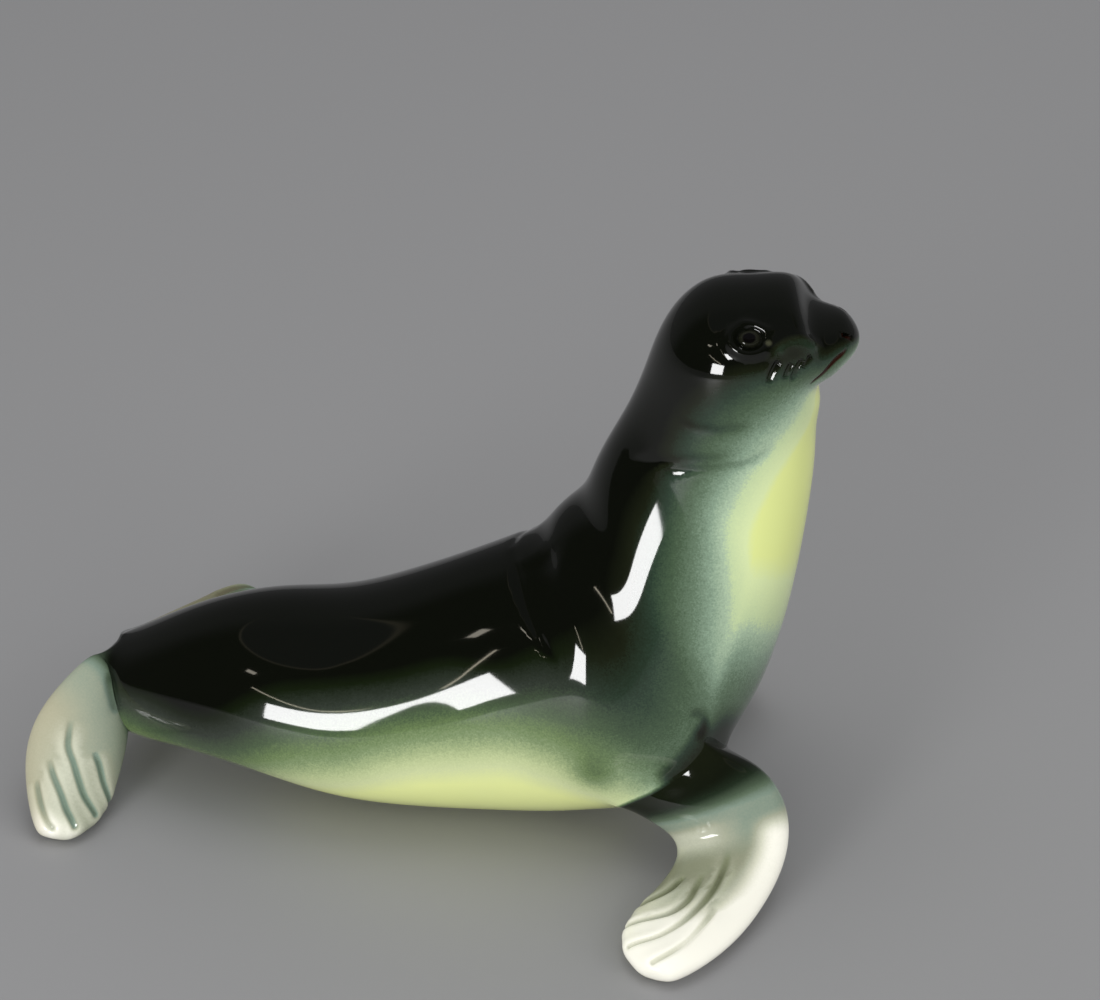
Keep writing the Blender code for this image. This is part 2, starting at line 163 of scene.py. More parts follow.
def bend(point):
    """Curves the straight body's tail to the left."""
    x, y, z = point
    t = max(BEND_START - x, 0.0)
    turn = atan2(t, BEND_RADIUS)
    return Vector((x + y * sin(turn), t * t / (2 * BEND_RADIUS) + y * cos(turn), z))


def between(values, place):
    """Value at a fractional place in a list of numbers, on a smooth curve through them."""
    i = min(max(int(place), 0), len(values) - 2)
    t = place - i
    a = values[max(i - 1, 0)]
    b, c = values[i], values[i + 1]
    d = values[min(i + 2, len(values) - 1)]
    return b + t * (c - a + t * (2 * a - 5 * b + 4 * c - d + t * (3 * b - a - 3 * c + d))) / 2


def on_body(station, turn, gain=1.0, inset=0.0):
    """A point of the body, given its station and its turn from the back down the right side."""
    rows = [(*s.back, *s.belly, s.half_width) for s in BODY]
    back_x, back_z, belly_x, belly_z, wide = (between(column, station) for column in zip(*rows))
    back, belly = Vector((back_x, 0, back_z)), Vector((belly_x, 0, belly_z))
    up = (back - belly) / 2
    up = up * (1 - inset / up.length)
    point = (back + belly) / 2 + up * cos(radians(turn)) * gain
    side = -(wide - inset) * sin(radians(turn)) * (1 - egg(station) * cos(radians(turn)))
    return bend((point.x, side * gain, point.z))


def blade_frame(blades, place):
    """Middle, half chord, unit normal on the upper face and thickness of a flipper."""
    lead = Vector([between([b.lead[k] for b in blades], place) for k in range(3)])
    trail = Vector([between([b.trail[k] for b in blades], place) for k in range(3)])
    path = Vector()
    for end, sign in ((min(place + 0.5, len(blades) - 1), 1), (max(place - 0.5, 0), -1)):
        for side in (0, 1):
            path += Vector([sign * between([b[side][k] for b in blades], end) for k in range(3)])
    chord = (lead - trail) / 2
    normal = path.cross(chord).normalized()
    if normal.dot(Vector((0, 0.5 if lead.y > 0 else -0.5, 1))) < 0:
        normal.negate()
    return (lead + trail) / 2, chord, normal, between([b.thick for b in blades], place)


def on_blade(blades, place, across):
    """A point of a flipper's upper face."""
    middle, chord, normal, thick = blade_frame(blades, place)
    share = 2 * across - 1
    return middle + chord * share + normal * thick / 2 * sqrt(max(1 - share * share, 0.0))


def left_front():
    """The left front flipper: the right one mirrored, and set back more and more from the elbow on."""
    out = []
    for i, b in enumerate(FRONT):
        back = LEFT_ARM_BACK * (i / (len(FRONT) - 1)) ** LEFT_ARM_EASE
        lead = (b.lead[0] - back, -b.lead[1], b.lead[2])
        trail = (b.trail[0] - back, -b.trail[1], b.trail[2])
        out.append(Blade(lead, trail, b.thick))
    return out


print("tip of the right front flipper:", [round(c, 1) for c in on_blade(FRONT, 6, 0.5)])

# %% [markdown]
# The flippers are not stuck on. The cage has an opening at each shoulder and a fork at the tail, and each
# flipper grows out of its opening, so that the smoothed skin flows into it without a seam. The cage is
# smoothed a second and a third time over the same faces with other numbers in place of its points: what
# each point is on the animal. Every fine point then knows its station, its turn and how far along a
# flipper it is, and the glaze can follow the form.

# %% Cage
TURNS = (0, 32, 64, 96, 125, 152, 180, 208, 235, 264, 296, 328)
FRONT_ROOT = (8, 11)
RING_GAIN = 1.05
BLADE_GAIN = 1.16
CAP_DEPTH = 2.5
CAP_SHRINK = 0.5
FORK_DEPTH = 2.0


class Cage:
    """Points, their roles on the animal, and faces."""

    def __init__(self):
        self.places = []
        self.roles = []
        self.faces = []

    def add(self, place, station, turn, front=0.0, hind=0.0, across=0.0):
        """Adds a point and returns its number."""
        self.places.append(place)
        self.roles.append((station, cos(radians(turn)), abs(sin(radians(turn))), front, hind, across))
        return len(self.places) - 1

    def tube(self, stations, inset=0.0, openings=()):
        """Rings of twelve points at the stations, joined by faces, but for the openings at (ring, side)."""
        rings = []
        for i in stations:
            rings.append([self.add(on_body(i, turn, RING_GAIN, inset), i, turn) for turn in TURNS])
        for i, (a, b) in enumerate(zip(rings, rings[1:])):
            for k in range(12):
                if (i, k) not in openings:
                    self.faces.append((a[k], a[(k + 1) % 12], b[(k + 1) % 12], b[k]))
        return rings

    def limb(self, root, blades, curved, kind):
        """Grows a flipper out of the loop of eight points called root."""
        loop = root
        station = sum(self.roles[i][0] for i in root) / 8
        for i in range(len(blades)):
            middle, chord, normal, thick = blade_frame(blades, i)
            ring = []
            for step in range(8):
                angle = pi * (7 / 8 - step / 4)
                place = middle + (chord * cos(angle) + normal * thick / 2 * sin(angle)) * BLADE_GAIN
                place = bend(place) if curved else place
                turn = degrees_of(self.roles[root[step]])
                ring.append(self.add(place, station, turn, across=cos(angle), **{kind: i + 1.0}))
            for k in range(8):
                self.faces.append((loop[k], loop[(k + 1) % 8], ring[(k + 1) % 8], ring[k]))
            loop = ring
        for k in range(3):
            self.faces.append((loop[k], loop[k + 1], loop[6 - k], loop[7 - k]))

    def close(self, loop, station, outward):
        """Closes a ring of twelve points with nine faces."""
        centre = sum((self.places[i] for i in loop), Vector()) / 12
        q = []
        for corner in (0, 3, 6, 9):
            pair = (self.places[loop[corner + 1]] + self.places[loop[(corner + 2) % 12]]) / 2
            diagonal = (self.places[loop[corner]] + pair) / 2
            q.append(self.add(centre + (diagonal - centre) * CAP_SHRINK + outward, station, TURNS[corner]))
        p = loop
        grid = (
            (p[0], p[1], p[2], p[3]),
            (p[11], q[0], q[1], p[4]),
            (p[10], q[3], q[2], p[5]),
            (p[9], p[8], p[7], p[6]),
        )
        for r in range(3):
            for c in range(3):
                self.faces.append((grid[r][c], grid[r][c + 1], grid[r + 1][c + 1], grid[r + 1][c]))


def degrees_of(role):
    """Turn in degrees, 0 to 180, from a point's role."""
    return atan2(role[2], role[1]) * 180 / pi


def seal_cage():
    """The whole seal: body, two pairs of flippers, nose."""
    cage = Cage()
    first, last = FRONT_ROOT
    span = range(first, last + 1)
    rings = cage.tube(range(len(BODY)), openings=[(i, k) for i in range(first, last) for k in (4, 7)])
    cage.close(rings[-1], len(BODY), Vector((CAP_DEPTH, 0, 0)))
    for near, far, blades in ((4, 5, FRONT), (8, 7, left_front())):
        root = [rings[i][near] for i in span] + [rings[i][far] for i in reversed(span)]
        cage.limb(root, blades, False, "front")
    tail = rings[0]
    middle = sum((cage.places[i] for i in tail), Vector()) / 12
    fork = cage.add(middle - Vector((FORK_DEPTH, 0, 0)), 0, 90)
    cage.limb([tail[5], tail[4], tail[3], tail[2], tail[1], tail[0], fork, tail[6]], HIND, True, "hind")
    cage.limb([tail[i] for i in range(7, 12)] + [tail[0], fork, tail[6]], LEFT_HIND, True, "hind")
    return cage


cage = seal_cage()
print("cage of", len(cage.places), "points and", len(cage.faces), "faces")

# %% Smooth skin
def linked(name, mesh):
    """A new object in the scene."""
    holder = bpy.data.objects.new(name, mesh)
    bpy.context.scene.collection.objects.link(holder)
    return holder


def evaluated(holder):
    """The object as its modifiers leave it."""
    return holder.evaluated_get(bpy.context.evaluated_depsgraph_get())


def smoothed(points, faces, levels):
    """Mesh of the smoothed cage, and a search tree of it."""
    mesh = bpy.data.meshes.new("cage")
    mesh.from_pydata(points, [], faces)
    holder = linked("cage", mesh)
    smooth = holder.modifiers.new("Smooth", "SUBSURF")
    smooth.levels = smooth.render_levels = levels
    out = bpy.data.meshes.new_from_object(evaluated(holder))
    tree = BVHTree.FromObject(holder, bpy.context.evaluated_depsgraph_get())
    bpy.data.objects.remove(holder)
    return out, tree


def read(mesh, what="co"):
    """Places or normals of a mesh's points as an array."""
    values = np.empty(len(mesh.vertices) * 3, np.float32)
    mesh.vertices.foreach_get(what, values)
    return values.reshape(-1, 3)


def store(mesh, name, values, domain="POINT"):
    """Keeps one number for each point or face of the mesh."""
    data = mesh.attributes.new(name, "FLOAT", domain).data
    data.foreach_set("value", np.asarray(values, np.float32))


LEVELS = 3
FINEST = 5
in_metres = [p * MM for p in cage.places]
skin = smoothed(in_metres, cage.faces, LEVELS)[0]
surface = smoothed(in_metres, cage.faces, FINEST)[1]
one = read(smoothed([r[:3] for r in cage.roles], cage.faces, LEVELS)[0])
two = read(smoothed([r[3:] for r in cage.roles], cage.faces, LEVELS)[0])
store(skin, "station", one[:, 0])
store(skin, "turn", np.degrees(np.arctan2(np.maximum(one[:, 2], 0), one[:, 1])))
for k, name in enumerate(("front", "hind", "across")):
    store(skin, name, two[:, k])
print("skin of", len(skin.polygons), "faces")

# %% [markdown]
# ## Lines pressed in the clay
# On the real piece the folds, whisker creases and toes are cut in the model that the mould is taken from,
# and the glaze pools in them. Body lines here run through (station, turn) and are drawn on both sides.
# Flipper lines run through (place along, share across), from 0 at the trailing edge to 1 at the leading
# edge.

# %% Lines
EYE = (17.65, 51)
BROW = (((17.55, 34), (17.78, 37), (17.98, 43), (18.2, 46), (18.45, 46)),)
MOUTH = (((18.3, 129), (19.0, 121), (20.25, 100), (20.95, 90), (21.5, 84), (22.1, 76)),)
NOSTRIL = (((22.3, 36), (22.25, 52)),)
WHISKERS = (
    ((18.05, 79), (17.65, 87), (17.15, 94)),
    ((18.35, 87), (18.05, 94), (17.75, 100)),
    ((18.75, 87), (18.3, 97), (17.9, 107)),
    ((19.3, 82), (18.9, 90), (18.55, 98)),
)
FOLDS = (
    ((15.01, 52), (15.17, 67), (15.42, 81), (15.94, 102)),
    ((13.2, 30), (14.32, 62), (14.91, 86), (15.15, 98)),
    ((13.9, 53), (14.63, 82), (15.08, 104), (15.65, 121)),
    ((6.9, 0), (7.1, 17), (7.31, 37), (7.65, 53), (7.95, 60)),
    ((11.15, 112), (11.34, 120), (11.16, 124), (10.83, 122)),
    ((0.15, 56), (0.5, 74), (0.77, 98)),
)
HOLLOW = (((8.1, 12), (8.2, 30), (8.4, 48)),)
FRONT_TOES = (
    ((2.05, 0.48), (2.6, 0.54), (3.15, 0.58), (3.65, 0.58), (4.25, 0.53), (4.75, 0.4), (5.1, 0.1)),
    ((2.75, 0.38), (3.2, 0.42), (3.6, 0.44), (3.95, 0.38), (4.15, 0.24), (4.35, 0.0)),
    ((2.8, 0.22), (3.2, 0.2), (3.45, 0.12), (3.65, 0.0)),
    ((3.6, 0.7), (4.0, 0.72), (4.65, 0.72), (5.15, 0.66), (5.65, 0.45)),
)
HIND_TOES = (
    ((1.7, 0.74), (2.15, 0.62), (2.4, 0.48), (2.75, 0.34), (3.1, 0.22), (3.4, 0.05)),
    ((2.75, 0.72), (3.1, 0.62), (3.5, 0.5), (3.95, 0.38), (4.4, 0.12)),
    ((3.45, 0.84), (4.0, 0.79), (4.45, 0.72), (5.0, 0.55)),
    ((1.8, 0.38), (1.95, 0.26), (2.2, 0.14), (2.6, 0.0)),
)
WHISKER_PAD = (((17.85, 79), (18.1, 69), (18.5, 63), (19.1, 65), (19.9, 57), (20.5, 50)),)


def curve_through(points, step=0.4):
    """Closely spaced points on a smooth curve through the given ones."""
    out = []
    for i in range(len(points) - 1):
        count = max(2, int((points[i + 1] - points[i]).length / step))
        for n in range(count):
            out.append(Vector([between([p[k] for p in points], i + n / count) for k in range(3)]))
    out.append(points[-1])
    return out


def body_lines(lines):
    """The lines in millimetres, on both sides."""
    return [curve_through([on_body(s, side * t) for s, t in line]) for line in lines for side in (1, -1)]


def toe_lines(lines, pairs):
    """The lines in millimetres, for pairs of (a flipper's blades, whether it follows the tail's bend)."""
    out = []
    for blades, curved in pairs:
        for line in lines:
            points = [on_blade(blades, *spot) for spot in line]
            out.append(curve_through([bend(p) for p in points] if curved else points))
    return out


Groove = namedtuple("Groove", "lines width depth runs_out painted")
TOES = toe_lines(FRONT_TOES, ((FRONT, False), (left_front(), False)))
TOES += toe_lines(HIND_TOES, ((HIND, True), (LEFT_HIND, True)))
GROOVES = {
    "Hollow": Groove(body_lines(HOLLOW), 6.0, 1.0, False, 0),
    "Pad": Groove(body_lines(WHISKER_PAD), 1.9, -0.7, False, 0),
    "Neck folds": Groove(body_lines(FOLDS[:3]), 1.3, 0.3, False, 0),
    "Creases": Groove(body_lines(FOLDS[3:]), 1.2, 0.5, False, 0),
    "Brow": Groove(body_lines(BROW), 1.1, -0.35, False, 0),
    "Whiskers": Groove(body_lines(WHISKERS), 0.7, 0.6, False, 0),
    "Toe swell": Groove(TOES, 2.6, -0.5, True, 0),
    "Toes": Groove(TOES, 0.85, 1.25, True, 0),
    "Mouth": Groove(body_lines(MOUTH), 0.5, 0.5, False, 1),
    "Nostrils": Groove(body_lines(NOSTRIL), 1.0, 1.2, False, 1),
}
print("lines:", {name: len(groove.lines) for name, groove in GROOVES.items()})

# %% [markdown]
# The skin is only as fine as its soft form needs, so the faces beside a line are divided before it is
# pressed in: once beside a wide line, twice beside a narrow one and round the eyes, and three times
# beside the narrowest. The new points are set on the finest smoothing of the cage, because gloss shows
# every flat spot.

# %% Finer faces beside the lines
EYE_REACH = 6.0
WIDEST_DIVIDED = 2.0
TWICE_BELOW = 1.15
THRICE_BELOW = 0.75
EYE_PASSES = 2
PASS_REACHES = (1.8, 1.4, 1.1)
PASS_MARGIN = 0.4
SPOT_STEP = 3


def snapped(lines):
    """The same lines on the skin, in metres."""
    return [[surface.find_nearest(p * MM)[0] for p in line] for line in lines]


lines_on_skin = {name: snapped(groove.lines) for name, groove in GROOVES.items()}
eyes = [surface.find_nearest(on_body(EYE[0], side * EYE[1]) * MM)[:2] for side in (1, -1)]
fine = [(place, EYE_REACH * MM / 2, EYE_PASSES) for place, _ in eyes]
for name, groove in GROOVES.items():
    if groove.width < WIDEST_DIVIDED:
        passes = 1 + (groove.width < TWICE_BELOW) + (groove.width < THRICE_BELOW)
        spots = [p for line in lines_on_skin[name] for p in line[::SPOT_STEP]]
        fine += [(p, groove.width * MM, passes) for p in spots]
bm = bmesh.new()
bm.from_mesh(skin)
coarse_count = len(bm.verts)
for step, factor in enumerate(PASS_REACHES):
    bm.verts.ensure_lookup_table()
    at = np.array([v.co for v in bm.verts])
    close = np.zeros(len(at), bool)
    for place, reach, passes in fine:
        if step < passes:
            close |= ((at - place) ** 2).sum(1) < (reach * factor + PASS_MARGIN * MM) ** 2
    edges = [e for e in bm.edges if close[e.verts[0].index] and close[e.verts[1].index]]
    bmesh.ops.subdivide_edges(bm, edges=edges, cuts=1, use_grid_fill=True, smooth=0.0)
bm.verts.ensure_lookup_table()
for v in bm.verts[coarse_count:]:
    v.co = surface.find_nearest(v.co)[0]
bmesh.ops.recalc_face_normals(bm, faces=bm.faces)
bm.to_mesh(skin)
bm.free()
body = linked("seal_skin", skin)
print("skin now has", len(skin.polygons), "faces")

# %% [markdown]
# ## Reckoning with nodes
# Two small classes keep the node trees short. A Value wraps one number's socket, so that maths on it
# reads as Python and adds its own Math nodes. A Tree makes every other node, with its settings and then
# its sockets.

# %% Values and trees
class Value:
    """One number inside a node tree."""

    def __init__(self, tree, socket):
        self.tree = tree
        self.socket = socket

    def maths(self, operation, *others):
        node = self.tree.node("ShaderNodeMath", {"operation": operation})
        for socket, value in zip(node.inputs, (self, *others)):
            self.tree.feed(socket, value)
        return Value(self.tree, node.outputs[0])

    def __add__(self, other):
        return self.maths("ADD", other)

    def __sub__(self, other):
        return self.maths("SUBTRACT", other)

    def __mul__(self, other):
        return self.maths("MULTIPLY", other)

    def __truediv__(self, other):
        return self.maths("DIVIDE", other)

    def __neg__(self):
        return self * -1.0

    def __rsub__(self, other):
        return -self + other

    __radd__ = __add__
    __rmul__ = __mul__

    def clamped(self, low=0.0, high=1.0):
        return self.maths("MAXIMUM", low).maths("MINIMUM", high)

    def rises(self, low, high):
        """0 below low, 1 above high, smooth between. It falls instead where low is above high."""
        t = ((self - low) / (high - low)).clamped()
        return t * t * (3.0 - 2.0 * t)


class Tree:
    """A node tree, and the one way to add nodes to it."""

    def __init__(self, group):
        self.group = group

    def feed(self, socket, value):
        """Links a socket, or sets its number or colour."""
        value = value.socket if isinstance(value, Value) else value
        if isinstance(value, bpy.types.NodeSocket):
            self.group.links.new(value, socket)
        else:
            socket.default_value = value

    def node(self, kind, settings=None, **sockets):
        """A node of this kind. A socket is named by its name or its identifier, with _ for spaces."""
        node = self.group.nodes.new(kind)
        for name, value in (settings or {}).items():
            if name == "stops":
                elements = node.color_ramp.elements
                elements.remove(elements[1])
                for place, colour in value:
                    stop = elements[0] if place == value[0][0] else elements.new(place)
                    stop.position, stop.color = place, colour
            else:
                setattr(node, name, value)
        for key, value in sockets.items():
            names = [(s, (s.identifier, s.name.replace(" ", "_"))) for s in node.inputs]
            self.feed(next(s for s, known in names if key in known), value)
        return node

    def over(self, below, above, share):
        """One colour over another, by the share that it covers."""
        colours = {"A_Color": below, "B_Color": above}
        return self.node("ShaderNodeMix", {"data_type": "RGBA"}, Factor_Float=share, **colours).outputs[2]


print("node helpers ready")

# %% [markdown]
# ## The tree that presses a line
# A modelling tool drawn over soft clay leaves a rounded groove that fades where the hand lifts. One
# Geometry Nodes tree does this for every kind of line: each point near a line moves along its normal, by
# the groove's depth and a bell curve of its distance. The lines carry the fade. The tree also keeps how
# deep each point was pressed, for the glaze that pools there and the shade painted there, and where a
# fine brush painted the mouth and the nostrils.

# %% Press tree
FADE_STEEPNESS = 5


def press_tree(glaze):
    """Inputs: the skin, an object with the lines, half width and depth in metres, and share painted."""
    group = bpy.data.node_groups.new("Press Lines", "GeometryNodeTree")
    sizes = [(name, "Float") for name in ("Width", "Depth", "Painted")]
    for name, kind in [("Geometry", "Geometry"), ("Lines", "Object")] + sizes:
        group.interface.new_socket(name, in_out="INPUT", socket_type="NodeSocket" + kind)
    group.interface.new_socket("Geometry", in_out="OUTPUT", socket_type="NodeSocketGeometry")
    tree = Tree(group)
    given = tree.node("NodeGroupInput").outputs
    field = {"data_type": "FLOAT"}

    def named(name):
        return tree.node("GeometryNodeInputNamedAttribute", field, Name=name).outputs["Attribute"]

    lines = tree.node("GeometryNodeObjectInfo", {"transform_space": "RELATIVE"}, Object=given["Lines"])
    lines = lines.outputs["Geometry"]
    beside = tree.node("GeometryNodeProximity", {"target_element": "EDGES"}, Geometry=lines)
    nearest = tree.node("GeometryNodeSampleNearest", {"domain": "POINT"}, Geometry=lines).outputs["Index"]
    fade = tree.node("GeometryNodeSampleIndex", field, Geometry=lines, Value=named("fade"), Index=nearest)
    share = Value(tree, beside.outputs["Distance"]) / given["Width"]
    bell = (-(share * share)).maths("EXPONENT") * fade.outputs[0]
    push = bell * given["Depth"]
    normal = tree.node("GeometryNodeInputNormal").outputs["Normal"]
    offset = tree.node("ShaderNodeVectorMath", {"operation": "SCALE"}, Vector=normal, Scale=-push)
    moved = tree.node("GeometryNodeSetPosition", Geometry=given["Geometry"], Offset=offset.outputs[0])
    skin = moved.outputs[0]
    for name, more in (("pressed", push), ("painted", bell * given["Painted"])):
        total = more + named(name)
        kept = tree.node("GeometryNodeStoreNamedAttribute", field, Geometry=skin, Name=name, Value=total)
        skin = kept.outputs[0]
    real = tree.node("GeometryNodeRealizeInstances", Geometry=skin).outputs[0]
    glazed = tree.node("GeometryNodeSetMaterial", Geometry=real, Material=glaze).outputs[0]
    tree.node("NodeGroupOutput", Geometry=glazed)
    return group


def line_object(name, lines, runs_out):
    """Lines as edges, each point with its fade, at both ends or only at the start of one that runs out."""
    points, edges, fades = [], [], []
    for line in lines:
        first = len(points)
        points.extend(line)
        edges.extend((first + i, first + i + 1) for i in range(len(line) - 1))
        for i in range(len(line)):
            along = i / (len(line) - 1)
            from_end = along if runs_out else min(along, 1 - along)
            fades.append(min(from_end * FADE_STEEPNESS, 1.0))
    mesh = bpy.data.meshes.new(name)
    mesh.from_pydata(points, edges, [])
    store(mesh, "fade", fades)
    return linked(name, mesh)


glaze = bpy.data.materials.new("airbrushed glaze")
glaze.use_nodes = True
group = press_tree(glaze)
sockets = {item.name: item.identifier for item in group.interface.items_tree if item.in_out == "INPUT"}
helpers = []
for name, groove in GROOVES.items():
    helpers.append(line_object(name, lines_on_skin[name], groove.runs_out))
    press = body.modifiers.new(name, "NODES")
    press.node_group = group
    press[sockets["Lines"]] = helpers[-1]
    press[sockets["Width"]] = groove.width * MM
    press[sockets["Depth"]] = groove.depth * MM
    press[sockets["Painted"]] = float(groove.painted)
pressed = bpy.data.meshes.new_from_object(evaluated(body))
body.modifiers.clear()
body.data = pressed
for helper in helpers:
    bpy.data.objects.remove(helper)
print("pressed", len(GROOVES), "kinds of line")

# %% [markdown]
# ## The eyes
# Each eye is a small ball in a soft socket, with a crease round it and a rounded lid outside the crease.
# The lid is fuller below and behind. A ring is drawn round the pupil, and the front corner has a small
# notch. All of it is relief on the one skin, as in the mould, so it is a sum of bell curves and soft
# steps of the distance from the eye's centre. The measures are in millimetres.

# %% Eyes
Bell = namedtuple("Bell", "centre width height")
EYE_LONG = 1.2
BALL_RADIUS = 1.9
BALL_HEIGHT = 0.85
CREASE = Bell(BALL_RADIUS + 0.3, 0.35, -0.3)
LID = Bell(3.5, 0.9, 0.45)
SOCKET = Bell(0, 6.5, -0.8)
PUPIL_RING = Bell(1.0, 0.22, -0.05)
NOTCH = Bell(0, 0.9, -0.55)
NOTCH_AHEAD = 4.1
NOTCH_BELOW = 0.9
BAG_HEIGHT = 0.95
BAG_BEGINS = (2.2, 3.1)
BAG_ENDS = (3.1, 5.6)
BAG_BELOW = 0.9
BAG_BEHIND = 0.4
FAR_AWAY = 99.0


def bell(distance, curve):
    return curve.height * np.exp(-((distance - curve.centre) / curve.width) ** 2)


def soft(values, low, high):
    """0 below low, 1 above high, smooth between. It falls instead where low is above high."""
    t = np.clip((values - low) / (high - low), 0, 1)
    return t * t * (3 - 2 * t)


def press_eye(mesh, place, normal):
    """Models an eye, and returns how far each point is from its centre and from its front corner, in mm."""
    at = read(mesh) / MM
    up = (Vector((0, 0, 1)) - normal * normal.z).normalized()
    ahead = up.cross(normal)
    if ahead.x < 0:
        ahead.negate()
    away = at - np.array(place) / MM
    along, height, depth = (away @ np.array(axis) for axis in (ahead, up, normal))
    elsewhere = FAR_AWAY * (np.abs(depth) > EYE_REACH)
    gap = np.hypot(along / EYE_LONG, height) + elsewhere
    corner = np.hypot(along - NOTCH_AHEAD, height + NOTCH_BELOW) + elsewhere
    ball = BALL_HEIGHT * np.sqrt(np.clip(1 - (gap / BALL_RADIUS) ** 2, 0, 1))
    reach = np.hypot(along, height)
    below = np.clip(0.5 - BAG_BELOW * height / reach - BAG_BEHIND * along / reach, 0, 1)
    bag = BAG_HEIGHT * (1 - soft(gap, *BAG_ENDS)) * soft(gap, *BAG_BEGINS) * below
    moves = ball + bell(gap, CREASE) + bell(gap, LID) + bag + bell(gap, SOCKET) + bell(gap, PUPIL_RING)
    moves += bell(corner, NOTCH)
    moved = (at + read(mesh, "normal") * moves[:, None]) * MM
    mesh.vertices.foreach_set("co", moved.astype(np.float32).ravel())
    mesh.update()
    return gap, corner


right, left = (press_eye(pressed, *eye) for eye in eyes)
store(pressed, "eye", np.minimum(right[0], left[0]))
store(pressed, "tear", np.minimum(right[1], left[1]))
print("points on the eyeballs:", int((np.minimum(right[0], left[0]) < BALL_RADIUS).sum()))

# %% [markdown]
# ## Foot, hollow and vent
# Belly and flippers are rubbed flat where they stand, so the skin is cut at the table and closed. The
# slip is poured out once the wall is thick enough, which leaves a hollow, and a small vent in the belly
# lets the air out in the kiln. The hollow is the body's own slices, smaller by the wall.

# %% Flat underside
def open_edges(bm):
    return sum(1 for e in bm.edges if len(e.link_faces) != 2)


bm = bmesh.new()
bm.from_mesh(pressed)
whole = bm.verts[:] + bm.edges[:] + bm.faces[:]
cut = bmesh.ops.bisect_plane(bm, geom=whole, plane_co=(0, 0, 0), plane_no=(0, 0, -1), clear_outer=True)
rim = [e for e in cut["geom_cut"] if isinstance(e, bmesh.types.BMEdge)]
bmesh.ops.triangulate(bm, faces=bmesh.ops.contextual_create(bm, geom=rim)["faces"])
bmesh.ops.recalc_face_normals(bm, faces=bm.faces)
print("open edges:", open_edges(bm))
bm.to_mesh(pressed)
bm.free()

# %% Hollow and vent
HOLLOW_SLICES = range(2, 18)
HOLLOW_LEVELS = 2
INSET_GAIN = 1.05
VENT_SIDES = 32


def outward(mesh):
    """The mesh with its faces turned outwards."""
    bm = bmesh.new()
    bm.from_mesh(mesh)
    bmesh.ops.recalc_face_normals(bm, faces=bm.faces)
    bm.to_mesh(mesh)
    bm.free()
    return mesh


def hollow_mesh():
    inner = Cage()
    rings = inner.tube(HOLLOW_SLICES, inset=WALL * INSET_GAIN)
    inner.close(rings[0], HOLLOW_SLICES[0], Vector((-WALL / 2, 0, 0)))
    inner.close(rings[-1], HOLLOW_SLICES[-1], Vector((WALL / 4, 0, WALL / 4)))
    return outward(smoothed([p * MM for p in inner.places], inner.faces, HOLLOW_LEVELS)[0])


def vent_mesh():
    bm = bmesh.new()
    radius = VENT_DIAMETER / 2 * MM
    sizes = {"radius1": radius, "radius2": radius, "depth": 4 * WALL * MM}
    bmesh.ops.create_cone(bm, cap_ends=True, segments=VENT_SIDES, **sizes)
    bmesh.ops.translate(bm, verts=bm.verts, vec=Vector((-VENT_BEHIND, 0, WALL)) * MM)
    mesh = bpy.data.meshes.new("vent")
    bm.to_mesh(mesh)
    bm.free()
    return outward(mesh)


cutters = [linked("hollow", hollow_mesh()), linked("vent", vent_mesh())]
for cutter in cutters:
    cut = body.modifiers.new(cutter.name, "BOOLEAN")
    cut.operation = "DIFFERENCE"
    cut.solver = "EXACT"
    cut.object = cutter
cast = bpy.data.meshes.new_from_object(evaluated(body))
body.modifiers.clear()
body.data = cast
for cutter in cutters:
    bpy.data.objects.remove(cutter)
bm = bmesh.new()
bm.from_mesh(cast)
print("open edges:", open_edges(bm), "triangles:", sum(len(f.verts) - 2 for f in bm.faces))
print("clay in cubic centimetres:", round(bm.calc_volume() * 1e6, 1))
bm.free()

# %% [markdown]
# Cutting makes new points, which take what they know of the animal from the nearest old one. The rubbed
# foot, the hollow and the vent stay bare clay, so those faces are marked.

# %% Roles and bare clay
RUBBED_BELOW = 0.02
FACING_DOWN = -0.99
OFF_THE_SKIN = 0.2
CREASE_ANGLE = 60
search = KDTree(len(pressed.vertices))
for i, v in enumerate(pressed.vertices):
    search.insert(v.co, i)
search.balance()
nearest = np.array([search.find(v.co)[1] for v in cast.vertices])
known = {}
for name in ("station", "turn", "front", "hind", "across", "pressed", "painted", "eye", "tear"):
    values = np.empty(len(pressed.vertices), np.float32)
    pressed.attributes[name].data.foreach_get("value", values)
    known[name] = values[nearest]
    if name in cast.attributes:
        cast.attributes.remove(cast.attributes[name])
    store(cast, name, known[name])
bm = bmesh.new()
bm.from_mesh(pressed)
glazed_skin = BVHTree.FromBMesh(bm)
bm.free()
bare = []
for face in cast.polygons:
    rubbed = face.center.z < RUBBED_BELOW * MM and face.normal.z < FACING_DOWN
    bare.append(rubbed or glazed_skin.find_nearest(face.center)[3] > OFF_THE_SKIN * MM)
store(cast, "bare", bare, "FACE")
cast.shade_smooth()
cast.set_sharp_from_angle(angle=radians(CREASE_ANGLE))
print("bare faces:", sum(bare), "of", len(bare))
